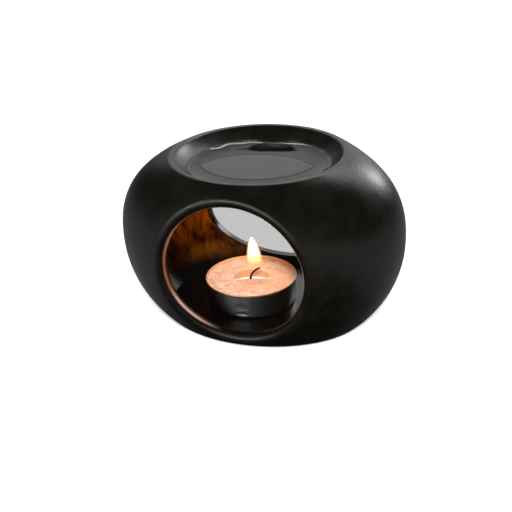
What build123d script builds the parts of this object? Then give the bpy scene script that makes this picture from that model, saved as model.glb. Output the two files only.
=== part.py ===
"""Stoneware essential oil burner with its scented water and a tealight, in millimetres.

+Z is up and the round candle mouth faces -Y. The origin is on the table, under the middle of the body.
"""
import os
from math import asin, cos, degrees, radians, sin, sqrt

from build123d import *

# Pebble-shaped stoneware body
BODY_WIDTH = 117.0
BODY_DEPTH = 90.0
BODY_HEIGHT = 69.5
WAIST_HEIGHT = 36.0
BASE_WIDTH = 84.0
BASE_DEPTH = 64.0
LOWER_ROUNDNESS = 2.05
UPPER_ROUNDNESS = 2.4
BASE_ROUNDING = 2.4
BASE_SHARE_OF_SILL = 0.43
WALL = 5.0
FLOOR_THICKNESS = 4.2
SHOULDER_THICKNESS = 7.5
SLICES_BELOW_WAIST = 6
SLICES_ABOVE_WAIST = 7

# Dish in the top of the body, with its rounded rim
DISH_DIAMETER = 67.0
DISH_FLOOR_DIAMETER = 37.4
DISH_DEPTH = 9.5
DISH_CURVE_RADIUS = 25.0
DISH_BRIM_WALL = 1.2
RIM_LAND = 2.0
RIM_ROUNDING = 1.6
RIM_ROUNDING_SHARE_OF_LAND = 0.8

# Round mouth in front and oval vent behind, both above the chamber floor
MOUTH_SILL = 1.5
MOUTH_HEADROOM = 8.6
VENT_SILL = 4.4
VENT_HEADROOM = 17.3
VENT_PILLAR = 23.5
MOUTH_LIP_ROUNDING = 2.8
VENT_LIP_ROUNDING = 1.5
LIP_SHARE_OF_WALL = 0.56
LIP_SHARE_OF_SILL = 0.5
INNER_LIP_ROUNDING = 0.7
INNER_LIP_SHARE_OF_SILL = 0.47

# Shallow recess that leaves a foot ring under the body
FOOT_RING_WIDTH = 11.0
FOOT_RECESS = 0.8

# Felt pads under the foot ring
PAD_DIAMETER = 7.5
PAD_THICKNESS = 1.2
PAD_INSET = 6.5
PAD_ANGLE = 45.0

# Scented water standing in the dish
WATER_DROP = 5.7

# Tealight standing on the chamber floor
TEALIGHT_X = -5.4
TEALIGHT_Y = -1.0
CUP_RIM_DIAMETER = 38.0
CUP_BASE_DIAMETER = 36.6
CUP_HEIGHT = 10.8
CUP_WALL = 0.3
CUP_CORNER = 1.3
WAX_DROP = 0.9
POOL_DIAMETER = 14.8
POOL_DEPTH = 2.0
POOL_CURVE_DEPTH = 2.6
POOL_DROP = 0.3
WICK_DIAMETER = 0.9
WICK_RISE = 3.0
WICK_TIP_REACH = 3.7
WICK_TIP_RISE = 1.6
WICK_BEND = 1.6
WICK_HEADING = 19.0
TAB_DIAMETER = 13.0
TAB_THICKNESS = 0.3
NECK_DIAMETER = 2.3
NECK_HEIGHT = 3.2

# Sizes and heights that follow from the sizes above
MOUTH_DIAMETER = BODY_HEIGHT - FLOOR_THICKNESS - MOUTH_SILL - MOUTH_HEADROOM
VENT_WIDTH = BODY_WIDTH - 2 * VENT_PILLAR
VENT_HEIGHT = BODY_HEIGHT - FLOOR_THICKNESS - VENT_SILL - VENT_HEADROOM
BASE_Z = PAD_THICKNESS
WAIST_Z = BASE_Z + WAIST_HEIGHT
FLOOR_Z = BASE_Z + FLOOR_THICKNESS
RIM_Z = BASE_Z + BODY_HEIGHT
CEILING_Z = RIM_Z - SHOULDER_THICKNESS
MOUTH_Z = FLOOR_Z + MOUTH_SILL + MOUTH_DIAMETER / 2
VENT_Z = FLOOR_Z + VENT_SILL + VENT_HEIGHT / 2
WAX_LEVEL = CUP_HEIGHT - WAX_DROP
RIM_DIAMETER = DISH_DIAMETER + 2 * RIM_LAND
SLOPE_STEP = 0.01
ON_SURFACE = 0.05
FRONT = -1
BACK = 1


def outline(z, waist, base, rim):
    """Half the outside size at height z, on a pebble outline through base, waist and rim."""
    if z < WAIST_Z:
        end, rise, roundness = base, WAIST_HEIGHT, LOWER_ROUNDNESS
    else:
        end, rise, roundness = rim, BODY_HEIGHT - WAIST_HEIGHT, UPPER_ROUNDNESS
    reach = rise / (1 - (end / waist) ** roundness) ** (1 / roundness)
    return waist / 2 * (1 - (abs(z - WAIST_Z) / reach) ** roundness) ** (1 / roundness)


def half_width(z):
    return outline(z, BODY_WIDTH, BASE_WIDTH, RIM_DIAMETER)


def half_depth(z):
    return outline(z, BODY_DEPTH, BASE_DEPTH, RIM_DIAMETER)


def inside(half_size, z):
    """Half the inside size at height z, one wall thickness in from the sloping outside."""
    slope = (half_size(z + SLOPE_STEP) - half_size(z - SLOPE_STEP)) / (2 * SLOPE_STEP)
    return half_size(z) - WALL * sqrt(1 + slope**2)


def spread(low, high, count):
    """Evenly spaced heights from low up to high, without high itself."""
    return [low + (high - low) * i / count for i in range(count)]


def pebble(width_at, depth_at, low, high):
    """Smooth solid through oval slices from one height to another."""
    heights = spread(low, WAIST_Z, SLICES_BELOW_WAIST) + spread(WAIST_Z, high, SLICES_ABOVE_WAIST) + [high]
    return loft([Pos(0, 0, z) * Ellipse(width_at(z), depth_at(z)) for z in heights])


def bowl(radius, curve_depth, brim_z, top_drop, floor_drop):
    """Round bowl-shaped solid with elliptical sides, between two depths below its brim."""
    top_angle = degrees(asin(top_drop / curve_depth))
    floor_angle = degrees(asin(floor_drop / curve_depth))
    side = EllipticalCenterArc((0, 0), radius, curve_depth, -floor_angle, arc_size=floor_angle - top_angle)
    axis_line = Polyline(side @ 1, (0, -top_drop), (0, -floor_drop), side @ 0)
    return Pos(0, 0, brim_z) * revolve(Plane.XZ * make_face([side, axis_line]), Axis.Z)


def saucer(brim_radius, floor_radius, depth, curve_radius):
    """Round dish-shaped solid with flared sides, from the rim of the body down to its flat floor."""
    side = RadiusArc((brim_radius, 0), (floor_radius, -depth), curve_radius)
    axis_line = Polyline(side @ 1, (0, -depth), (0, 0), side @ 0)
    return Pos(0, 0, RIM_Z) * revolve(Plane.XZ * make_face([side, axis_line]), Axis.Z)


def oil_dish():
    """Hollow of the dish, as a solid."""
    return saucer(DISH_DIAMETER / 2, DISH_FLOOR_DIAMETER / 2, DISH_DEPTH, DISH_CURVE_RADIUS)


def dish_wall():
    """Dish and the wall under it, as a solid."""
    brim_radius = DISH_DIAMETER / 2 + DISH_BRIM_WALL * WALL
    return saucer(brim_radius, DISH_FLOOR_DIAMETER / 2, DISH_DEPTH + WALL, DISH_CURVE_RADIUS + WALL)


def on_skin(point):
    """True for a point on the body's outside surface."""
    x_share = point.X / half_width(point.Z)
    y_share = point.Y / half_depth(point.Z)
    return abs(sqrt(x_share**2 + y_share**2) - 1) < ON_SURFACE / WALL


def on_tunnel(point, width, height, middle_z):
    """True for a point on the wall of an oval hole that runs front to back."""
    x_share = point.X / (width / 2)
    z_share = (point.Z - middle_z) / (height / 2)
    return abs(sqrt(x_share**2 + z_share**2) - 1) < ON_SURFACE / WALL


def tunnel(width, height, middle_z, side):
    """Oval hole from the middle of the body out through its front or its back."""
    section = Plane.XZ * Pos(0, middle_z) * Ellipse(width / 2, height / 2)
    return extrude(section, amount=BODY_DEPTH, dir=(0, side, 0))


def lip_edges(body, outer, width, height, middle_z, side):
    """Edges of one opening, on the outside of the body or on its inside."""
    found = []
    for edge in body.edges():
        points = [edge @ share for share in (0.1, 0.5, 0.9)]
        on_hole = all(side * p.Y > 0 and on_tunnel(p, width, height, middle_z) for p in points)
        if on_hole and all(on_skin(p) == outer for p in points):
            found.append(edge)
    return found


def level_edges(body, z, reach):
    """Edges lying flat at height z whose widest point is the given distance from the middle."""
    found = []
    for edge in body.edges():
        box = edge.bounding_box()
        flat = abs(box.min.Z - z) < ON_SURFACE and abs(box.max.Z - z) < ON_SURFACE
        if flat and abs(box.max.X - reach) < ON_SURFACE:
            found.append(edge)
    return found


def round_edges(body, mouth, vent):
    """Round the lips of both openings, the rim of the dish and the edge of the base."""
    sill_height = FLOOR_THICKNESS + MOUTH_SILL
    most_lip = min(LIP_SHARE_OF_WALL * WALL, LIP_SHARE_OF_SILL * sill_height)
    inner_lip = min(INNER_LIP_ROUNDING, INNER_LIP_SHARE_OF_SILL * MOUTH_SILL)
    for opening, lip in ((mouth, MOUTH_LIP_ROUNDING), (vent, VENT_LIP_ROUNDING)):
        body = fillet(lip_edges(body, True, *opening), min(lip, most_lip))
        body = fillet(lip_edges(body, False, *opening), inner_lip)
    rim = min(RIM_ROUNDING, RIM_ROUNDING_SHARE_OF_LAND * RIM_LAND)
    for diameter in (RIM_DIAMETER, DISH_DIAMETER):
        body = fillet(level_edges(body, RIM_Z, diameter / 2), rim)
    base = min(BASE_ROUNDING, BASE_SHARE_OF_SILL * sill_height)
    return fillet(level_edges(body, BASE_Z, BASE_WIDTH / 2), base)


def burner_body():
    """One-piece fired body: pebble shell, chamber with two openings, dish and foot ring."""
    chamber = pebble(lambda z: inside(half_width, z), lambda z: inside(half_depth, z), FLOOR_Z, CEILING_Z)
    mouth = (MOUTH_DIAMETER, MOUTH_DIAMETER, MOUTH_Z, FRONT)
    vent = (VENT_WIDTH, VENT_HEIGHT, VENT_Z, BACK)
    hollow = chamber + tunnel(*mouth) + tunnel(*vent) - dish_wall()
    body = round_edges(pebble(half_width, half_depth, BASE_Z, RIM_Z) - hollow - oil_dish(), mouth, vent)
    recess = Ellipse(BASE_WIDTH / 2 - FOOT_RING_WIDTH, BASE_DEPTH / 2 - FOOT_RING_WIDTH)
    return body - extrude(Pos(0, 0, BASE_Z) * recess, amount=FOOT_RECESS)


def foot_pads():
    """Four felt discs under the foot ring, by name."""
    middle_x = (BASE_WIDTH / 2 - PAD_INSET) * cos(radians(PAD_ANGLE))
    middle_y = (BASE_DEPTH / 2 - PAD_INSET) * sin(radians(PAD_ANGLE))
    pads = {}
    for depth_name, y in (("front", -middle_y), ("rear", middle_y)):
        for side_name, x in (("left", -middle_x), ("right", middle_x)):
            disc = Pos(x, y) * Circle(PAD_DIAMETER / 2)
            pads[f"foot_pad_{depth_name}_{side_name}"] = extrude(disc, PAD_THICKNESS)
    return pads


def scented_water():
    """Water and oil filling the dish up to their level."""
    above_water = Pos(0, 0, RIM_Z) * Cylinder(DISH_DIAMETER, 2 * WATER_DROP)
    return oil_dish() - above_water


def cup_fill(inset, top):
    """Solid inside the tapered cup's outer skin, drawn in by inset, from the cup's floor up to top."""
    taper = (CUP_RIM_DIAMETER - CUP_BASE_DIAMETER) / 2 / CUP_HEIGHT
    low = CUP_BASE_DIAMETER / 2 + taper * inset - inset
    high = CUP_BASE_DIAMETER / 2 + taper * top - inset
    cone = Pos(0, 0, inset) * Cone(low, high, top - inset, align=(Align.CENTER, Align.CENTER, Align.MIN))
    return fillet(cone.edges().sort_by(Axis.Z)[0], CUP_CORNER - inset)


def tealight():
    """Aluminium cup, wax with its melted pool, and the wick in its tab, by name."""
    cup = cup_fill(0, CUP_HEIGHT) - cup_fill(CUP_WALL, CUP_HEIGHT)
    pool_z = WAX_LEVEL - POOL_DROP
    foot = Vector(0, 0, CUP_WALL)
    bend = Vector(0, 0, pool_z + WICK_RISE)
    lean = Vector(cos(radians(WICK_HEADING)), sin(radians(WICK_HEADING)), 0)
    tip = bend + lean * WICK_TIP_REACH + Vector(0, 0, WICK_TIP_RISE)
    path = FilletPolyline(foot, bend, tip, radius=WICK_BEND)
    wick = sweep(Pos(foot) * Circle(WICK_DIAMETER / 2), path)
    bore = extrude(Pos(foot) * Circle(WICK_DIAMETER / 2), NECK_HEIGHT)
    tab = extrude(Pos(foot) * Circle(TAB_DIAMETER / 2), TAB_THICKNESS)
    neck = extrude(Pos(foot) * Circle(NECK_DIAMETER / 2), NECK_HEIGHT)
    crater = bowl(POOL_DIAMETER / 2, POOL_CURVE_DEPTH, WAX_LEVEL, 0, POOL_DEPTH)
    pool = bowl(POOL_DIAMETER / 2, POOL_CURVE_DEPTH, WAX_LEVEL, POOL_DROP, POOL_DEPTH)
    wax = cup_fill(CUP_WALL, WAX_LEVEL) - crater - tab - neck - wick
    pieces = {
        "tealight_cup": cup,
        "tealight_wax": wax,
        "melted_wax": pool - wick,
        "wick": wick,
        "wick_tab": tab + neck - bore,
    }
    seat = Pos(TEALIGHT_X, TEALIGHT_Y, FLOOR_Z)
    return {name: seat * piece for name, piece in pieces.items()}


def main():
    os.makedirs("parts", exist_ok=True)
    body = burner_body()
    pieces = {"burner_body": body, "scented_water": scented_water()}
    pieces.update(foot_pads())
    pieces.update(tealight())
    centring = Pos(0, -body.bounding_box().center().Y, 0)
    for name, piece in pieces.items():
        export_step(centring * piece, f"parts/{name}.step")
        print(name, round(piece.volume, 1), piece.is_valid)


main()
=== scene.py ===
# %% [markdown]
# # An essential oil burner, dressed for its portrait
#
# The burner is a black stoneware pebble with a dish of scented water in its top and a tealight inside. Its
# pieces come from a CAD model, loaded as a fixed frame. We could model the burner afresh, but then picture and
# CAD model would drift apart, so each piece made here goes where the frame says, in metres.

# %% Load the frame
from functools import partial
from math import atan2, cos, exp, pi, radians, sin
from types import SimpleNamespace

import bmesh
import bpy
from mathutils import Matrix, Vector, noise


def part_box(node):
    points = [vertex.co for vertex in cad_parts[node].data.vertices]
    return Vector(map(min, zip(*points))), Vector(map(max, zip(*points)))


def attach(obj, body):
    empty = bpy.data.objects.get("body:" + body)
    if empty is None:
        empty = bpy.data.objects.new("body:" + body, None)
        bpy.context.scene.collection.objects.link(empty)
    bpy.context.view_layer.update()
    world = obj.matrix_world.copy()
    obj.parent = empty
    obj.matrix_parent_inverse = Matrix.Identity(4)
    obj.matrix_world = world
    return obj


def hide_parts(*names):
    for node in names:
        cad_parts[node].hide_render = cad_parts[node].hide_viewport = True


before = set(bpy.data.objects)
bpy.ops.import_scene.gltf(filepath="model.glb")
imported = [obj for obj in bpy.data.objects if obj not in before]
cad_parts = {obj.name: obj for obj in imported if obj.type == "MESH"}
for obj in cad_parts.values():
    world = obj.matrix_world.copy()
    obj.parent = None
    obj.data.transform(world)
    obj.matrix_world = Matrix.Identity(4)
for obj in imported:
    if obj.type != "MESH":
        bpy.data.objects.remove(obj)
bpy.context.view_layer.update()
MM = 0.001
print("nodes:", sorted(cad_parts))

# %% [markdown]
# ## Places read from the frame
#
# A place can be typed in, but it is wrong as soon as the CAD model changes, so we never type one that the
# frame knows. The boxes of the water and of the tealight's pieces give the middle of the dish, the tealight's
# axis and the levels of water, wax and pool.

# %% Places
def round_piece(node):
    """Axis, radius, foot and top of a round CAD node."""
    low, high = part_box(node)
    return (low.x + high.x) / 2, (low.y + high.y) / 2, (high.x - low.x) / 2, low.z, high.z


DISH_X, DISH_Y, WATER_RADIUS, WATER_FLOOR_Z, WATER_Z = round_piece("scented_water")
CUP_X, CUP_Y, CUP_RADIUS, CUP_FOOT_Z, CUP_RIM_Z = round_piece("tealight_cup")
_, _, _, WAX_FLOOR_Z, WAX_Z = round_piece("tealight_wax")
_, _, POOL_RADIUS, POOL_FLOOR_Z, POOL_Z = round_piece("melted_wax")
WICK_FOOT_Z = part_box("wick")[0].z
body_low, body_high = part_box("burner_body")
print("dish middle", round(DISH_X / MM, 2), round(DISH_Y / MM, 2), "water level", round(WATER_Z / MM, 2))
print("tealight axis", round(CUP_X / MM, 2), round(CUP_Y / MM, 2), "wax level", round(WAX_Z / MM, 2))

# %% [markdown]
# ## The camera
#
# A view can be set by eye, or worked out from points whose real places are known. Here a pinhole camera was
# matched to the outline, the rim, the openings and the tealight, because round forms look wrong as soon as one
# of them is a degree off. It stands to the right of the mouth and looks down on it, with a slight roll. The
# lens shift only places the burner in the picture.

# %% Camera
IMAGE_SIDE = 512
CAMERA_AZIMUTH = radians(19.06)
CAMERA_ELEVATION = radians(24.37)
CAMERA_ROLL = radians(-2.59)
CAMERA_DISTANCE = 388.62 * MM
FOCAL_PIXELS = 952.29
AIM_PIXEL = (262.09, 229.26)
WAIST_Z = body_low.z + 36 * MM
AIM = Vector((DISH_X, DISH_Y, WAIST_Z))


def put(name, data):
    """A new object in the scene."""
    thing = bpy.data.objects.new(name, data)
    bpy.context.scene.collection.objects.link(thing)
    return thing


camera = put("camera", bpy.data.cameras.new("camera"))
backward = Vector((
    sin(CAMERA_AZIMUTH) * cos(CAMERA_ELEVATION),
    -cos(CAMERA_AZIMUTH) * cos(CAMERA_ELEVATION),
    sin(CAMERA_ELEVATION),
))
camera.matrix_world = (
    Matrix.Translation(AIM + backward * CAMERA_DISTANCE)
    @ backward.to_track_quat("Z", "Y").to_matrix().to_4x4()
    @ Matrix.Rotation(CAMERA_ROLL, 4, "Z")
)
camera.data.lens = FOCAL_PIXELS / IMAGE_SIDE * camera.data.sensor_width
camera.data.shift_x = (IMAGE_SIDE / 2 - AIM_PIXEL[0]) / IMAGE_SIDE
camera.data.shift_y = (AIM_PIXEL[1] - IMAGE_SIDE / 2) / IMAGE_SIDE
camera.data.clip_start = 10 * MM
bpy.context.scene.camera = camera
bpy.context.scene.view_settings.view_transform = "Standard"
print("lens", round(camera.data.lens, 1), "mm")

# %% [markdown]
# ## Helpers for materials
#
# A node tree can be clicked together in the shader editor, but a script can be read and run again. Colours are
# written as the hex values that a screen shows, and one function turns them into the linear light that shaders
# mix. Another adds a node: it sets the node's properties, then sets each socket to a value or links it. Where
# a whole node is given for a socket, its first output in use is linked. The third makes a material from a
# function that is named for the real one.

# %% Colour and node helpers
def linear(hex_colour):
    """Linear RGBA of an sRGB hex colour such as #1a1815."""
    channels = [int(hex_colour[i:i + 2], 16) / 255 for i in (1, 3, 5)]
    return [c / 12.92 if c <= 0.04045 else ((c + 0.055) / 1.055) ** 2.4 for c in channels] + [1.0]


def add_node(tree, kind, sockets=(), **settings):
    """Add one node with its settings, and set or link its sockets, by name or in the order they show."""
    made = tree.nodes.new("ShaderNode" + kind)
    for name, setting in settings.items():
        setattr(made, name, setting)
    if not isinstance(sockets, dict):
        sockets = dict(zip([i for i, socket in enumerate(made.inputs) if socket.enabled], sockets))
    for name, value in sockets.items():
        if isinstance(value, bpy.types.Node):
            value = next(output for output in value.outputs if output.enabled)
        if isinstance(value, bpy.types.NodeSocket):
            tree.links.new(value, made.inputs[name])
        else:
            made.inputs[name].default_value = value
    return made


def make_material(surface, name=None):
    """A material named for a function that adds its nodes and returns the shader to show."""
    material = bpy.data.materials.new(name or surface.__name__)
    material.use_nodes = True
    tree = material.node_tree
    tree.nodes.clear()
    add = partial(add_node, tree)
    add("OutputMaterial", [surface(add, add("TexCoord").outputs["Object"])])
    return material


print("glaze black in linear light:", [round(c, 4) for c in linear("#0c0a08")])

# %% [markdown]
# ## Satin black stoneware
#
# The body was slip cast in one piece, dipped in a black glaze and fired. One glaze looks different in each
# zone: satin outside, glossier in the dish, streaky and sooty in the chamber, thin on the lips of the
# openings. The zones could be painted on an unwrapped mesh, but rules on a point's place need no unwrapping
# and stay sharp at any distance.
#
# A point's distance from the middle, measured in the pebble's own sizes, tells inside from outside, its height
# tells wall from floor, and its distance from the axis of the round mouth or the oval vent tells whether it
# lies on the edge of that opening.

# %% Zones of the stoneware
BODY_HALF_WIDTH = (body_high.x - body_low.x) / 2
BODY_HALF_DEPTH = 45 * MM
LOWER_REACH = 50.7 * MM
UPPER_REACH = 41.0 * MM
CHAMBER_TOP_Z = WATER_FLOOR_Z - 2 * MM
CHAMBER_FLOOR_Z = CUP_FOOT_Z
MOUTH_RADIUS = 27.6 * MM
MOUTH_Z = CHAMBER_FLOOR_Z + 1.5 * MM + MOUTH_RADIUS
VENT_HALF_WIDTH = 35 * MM
VENT_HALF_HEIGHT = 21.8 * MM
VENT_Z = CHAMBER_FLOOR_Z + 4.4 * MM + VENT_HALF_HEIGHT

# Each pair is where a zone starts and where it is full. The first four are shares of a distance.
EDGE_BAND = (0.03, 0.009)
LIP_BAND = (1.0, 0.975)
OUTER_LIP_BAND = (0.915, 0.945)
CHAMBER_BAND = (0.945, 0.925)
WALL_BAND = (CHAMBER_FLOOR_Z + 3 * MM, CHAMBER_FLOOR_Z + 20 * MM)
SMOOTH = {"interpolation_type": "SMOOTHSTEP"}


def oval_distance(add, place, middle, half_sizes):
    """Distance from an oval's middle, as a share of its half sizes. An axis without a size doesn't count."""
    off = add("VectorMath", [place, middle], operation="SUBTRACT")
    shares = [1 / size if size else 0 for size in half_sizes]
    off = add("VectorMath", [off, shares], operation="MULTIPLY")
    return add("VectorMath", [off], operation="LENGTH")


def pebble_distance(add, place, z):
    """Distance from the middle of the pebble: one on its skin, less inside it."""
    above = add("Math", [z, WAIST_Z], operation="GREATER_THAN")
    lower = oval_distance(add, place, AIM, (BODY_HALF_WIDTH, BODY_HALF_DEPTH, LOWER_REACH))
    upper = oval_distance(add, place, AIM, (BODY_HALF_WIDTH, BODY_HALF_DEPTH, UPPER_REACH))
    return add("Mix", [above, lower, upper])


def opening_edge(add, place, at_back):
    """One on the edges of the mouth and the vent, zero elsewhere."""
    mouth = oval_distance(add, place, (0, 0, MOUTH_Z), (MOUTH_RADIUS, 0, MOUTH_RADIUS))
    vent = oval_distance(add, place, (0, 0, VENT_Z), (VENT_HALF_WIDTH, 0, VENT_HALF_HEIGHT))
    opening = add("Mix", [at_back, mouth, vent])
    off_edge = add("Math", [opening, 1.0], operation="SUBTRACT")
    off_edge = add("Math", [off_edge], operation="ABSOLUTE")
    return add("MapRange", [off_edge, *EDGE_BAND], **SMOOTH)


def body_zones(add, place):
    """The place of a point, and nodes that are one in their zone of the body and zero elsewhere."""
    zone = SimpleNamespace(place=place)
    zone.x, zone.y, zone.z = add("SeparateXYZ", [place]).outputs
    distance = pebble_distance(add, place, zone.z)
    zone.under_dish = add("Math", [zone.z, CHAMBER_TOP_Z], operation="LESS_THAN")
    zone.at_back = add("Math", [zone.y, 0.0], operation="GREATER_THAN")
    inside = add("MapRange", [distance, *CHAMBER_BAND], **SMOOTH)
    zone.chamber = add("Math", [inside, zone.under_dish], operation="MULTIPLY")
    zone.wall = add("MapRange", [zone.z, *WALL_BAND], **SMOOTH)
    lip = add("MapRange", [distance, *LIP_BAND], **SMOOTH)
    lip = add("Math", [lip, zone.under_dish], operation="MULTIPLY")
    on_edge = opening_edge(add, place, zone.at_back)
    zone.edge = add("Math", [on_edge, lip], operation="MULTIPLY")
    outer_lip = add("MapRange", [distance, *OUTER_LIP_BAND], **SMOOTH)
    zone.bare = add("Math", [zone.edge, outer_lip], operation="MULTIPLY")
    vent_edge = add("Math", [zone.edge, zone.at_back], operation="MULTIPLY")
    zone.shiny = add("Math", [zone.bare, vent_edge], operation="MAXIMUM")
    return zone


print("mouth axis", round(MOUTH_Z / MM, 1), "mm and vent axis", round(VENT_Z / MM, 1), "mm above the table")

# %% [markdown]
# Outside, the glaze is black with faint brown mottling. In the chamber the iron in it shows as streaks of
# brown and amber, and the floor is black. The streaks are painted brighter towards the back: a painted glow of
# the flame on top of the candle lamp's own light. On the mouth's outer lip the glaze ran thin, and on the left
# the clay shows through, brown above, and below it a pale pink that is a painted highlight. Painted masks
# would do this too, but here each colour is mixed over the one before, from the outside to the bare lip, so a
# zone can be changed alone.

# %% Stoneware colours
MOTTLE_MM = 9.0
MOTTLE_SPREAD = (0.3, 0.75)
STREAK_MM = 6.0
STREAK_STRETCH = (1.0, 1.0, 0.4)
STREAK_SPREAD = (0.28, 0.72)
# Painted candle light: the chamber's streaks brighten from y = 4 mm to full at 27 mm, towards the back.
PAINTED_CANDLE_LIGHT_BAND = (4 * MM, 27 * MM)
PAINTED_CANDLE_LIGHT_SHARE = (0.3, 1.0)
# Painted highlight: heights where the lip's clay turns from brown to a pale pink, lower down.
PAINTED_HIGHLIGHT_BAND = (MOUTH_Z - 8 * MM, MOUTH_Z - 16 * MM)
CLAY_BAND = (-7 * MM, -19 * MM)
THICK_GLAZE = "#0c0a08"
COLOUR = {"data_type": "RGBA"}


def per_mm(size_mm):
    """Noise scale, in cycles a metre, of a pattern whose spots are this many millimetres wide."""
    return 1 / (size_mm * MM)


def chamber_colour(add, zone):
    """Streaks of iron on the wall, over a black floor, painted brighter towards the back as painted candle
    light.
    """
    stretched = add("Mapping", {"Vector": zone.place, "Scale": STREAK_STRETCH})
    streaks = add("TexNoise", {"Vector": stretched, "Scale": per_mm(STREAK_MM), "Detail": 6.0,
                               "Distortion": 1.2})
    streaks = add("MapRange", [streaks, *STREAK_SPREAD], **SMOOTH)
    # Painted candle light: the iron's amber grows brighter towards the back of the chamber.
    painted_candle_light = add("MapRange", [zone.y, *PAINTED_CANDLE_LIGHT_BAND, *PAINTED_CANDLE_LIGHT_SHARE], **SMOOTH)
    iron_in_painted_light = add("Math", [streaks, painted_candle_light], operation="MULTIPLY")
    iron = add("Mix", [iron_in_painted_light, linear("#3a1202"), linear("#ff9008")], **COLOUR)
    return add("Mix", [zone.wall, linear("#080706"), iron], **COLOUR)


def lip_colour(add, zone):
    """Clay through thin glaze on the left of the mouth, thick glaze on its right; low down a pale pink painted
    highlight.
    """
    # Painted highlight: the brown clay turns pale pink towards the bottom of the lip.
    low = add("MapRange", [zone.z, *PAINTED_HIGHLIGHT_BAND], **SMOOTH)
    clay_and_painted_highlight = add("Mix", [low, linear("#8a5232"), linear("#c0988c")], **COLOUR)
    left = add("MapRange", [zone.x, *CLAY_BAND], **SMOOTH)
    return add("Mix", [left, linear(THICK_GLAZE), clay_and_painted_highlight], **COLOUR)


def glaze_colour(add, zone, mottle):
    """The body's colour in all its zones."""
    brown = add("MapRange", [mottle, *MOTTLE_SPREAD], **SMOOTH)
    outside = add("Mix", [brown, linear("#080704"), linear("#110f0a")], **COLOUR)
    inside = chamber_colour(add, zone)
    colour = add("Mix", [zone.chamber, outside, inside], **COLOUR)
    colour = add("Mix", [zone.edge, colour, linear(THICK_GLAZE)], **COLOUR)
    return add("Mix", [zone.bare, colour, lip_colour(add, zone)], **COLOUR)


print("iron streaks", STREAK_MM, "mm wide: noise scale", round(per_mm(STREAK_MM), 1))

# %% [markdown]
# A reflection has a sharpness and a strength. Roughness alone can't make a surface dull and dark at once, so
# strength gets its own rule. Soot takes nearly all of it from the chamber's wall. The floor is wiped clean to
# the right of the tealight. The dish is glossier than the outside. Under water the glaze hardly mirrors at
# all, because water bends light almost as much as glaze does. The lips shine, and on the vent's edge only the
# part that faces up, where the glaze pooled.

# %% Stoneware gloss
SATIN_SPREAD = (0.3, 0.7)
SATIN_ROUGHNESS = (0.31, 0.40)
FLOOR_ROUGHNESS = 0.24
WALL_ROUGHNESS = 0.55
LIP_ROUGHNESS = 0.16
UNDER_WATER_SHARE = 1.02
DISH_RIM_BAND = (1.16, 1.2)
DISH_MIRROR = 0.9
OUTSIDE_MIRROR = 0.5
UNDER_WATER_MIRROR = 0.05
WIPED_BAND = (CUP_X + 6 * MM, CUP_X + 15 * MM)
FLOOR_MIRROR = (0.12, 0.9)
OFF_FLOOR_BAND = (CHAMBER_FLOOR_Z + 0.01 * MM, CHAMBER_FLOOR_Z + 0.15 * MM)
SOOTY_MIRROR = 0.06
FACING_UP_BAND = (0.75, 0.97)
VENT_MIRROR = (0.2, 0.9)
LIP_MIRROR = 0.9


def glaze_roughness(add, zone, mottle):
    """Satin outside, smoother on the chamber's floor, rougher on its wall, smoothest on the lips."""
    satin = add("MapRange", [mottle, *SATIN_SPREAD, *SATIN_ROUGHNESS], **SMOOTH)
    inner = add("Mix", [zone.wall, FLOOR_ROUGHNESS, WALL_ROUGHNESS])
    rough = add("Mix", [zone.chamber, satin, inner])
    return add("Mix", [zone.shiny, rough, LIP_ROUGHNESS])


def open_air_mirror(add, zone):
    """Strength of the reflection outside and in the dish, above water and under it."""
    from_axis = oval_distance(add, zone.place, (DISH_X, DISH_Y, 0), (WATER_RADIUS, WATER_RADIUS, 0))
    above_water = add("Math", [zone.z, WATER_Z], operation="GREATER_THAN")
    beside_water = add("Math", [from_axis, UNDER_WATER_SHARE], operation="GREATER_THAN")
    dry = add("Math", [above_water, beside_water], operation="MAXIMUM")
    dry = add("Math", [dry, zone.under_dish], operation="MAXIMUM")
    in_air = add("MapRange", [from_axis, *DISH_RIM_BAND, DISH_MIRROR, OUTSIDE_MIRROR], **SMOOTH)
    return add("Mix", [dry, UNDER_WATER_MIRROR, in_air])


def glaze_mirror(add, zone):
    """Strength of the reflection in all the zones."""
    wiped = add("MapRange", [zone.x, *WIPED_BAND, *FLOOR_MIRROR], **SMOOTH)
    off_floor = add("MapRange", [zone.z, *OFF_FLOOR_BAND], **SMOOTH)
    sooty = add("Mix", [off_floor, wiped, SOOTY_MIRROR])
    open_air = open_air_mirror(add, zone)
    mirror = add("Mix", [zone.chamber, open_air, sooty])
    facing_up = add("SeparateXYZ", [add("NewGeometry").outputs["Normal"]]).outputs["Z"]
    pooled = add("MapRange", [facing_up, *FACING_UP_BAND, *VENT_MIRROR], **SMOOTH)
    polished = add("Mix", [zone.at_back, LIP_MIRROR, pooled])
    return add("Mix", [zone.shiny, mirror, polished])


print("satin roughness", SATIN_ROUGHNESS, "lip roughness", LIP_ROUGHNESS)

# %% [markdown]
# The body keeps its CAD shape: a casting with a smooth skin needs no finer mesh. It only lacks the grain of a
# satin glaze, crystals that make its skin uneven. Real bumps would need millions of faces, so a bump node
# tilts the normals. Colours, gloss and grain then meet in one shader.

# %% Stoneware material
# Real crystals are about 0.1 mm wide, but drawn coarser here so that they show.
GRAIN_MM = 1.3
GRAIN_DEPTH = 0.13 * MM


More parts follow.
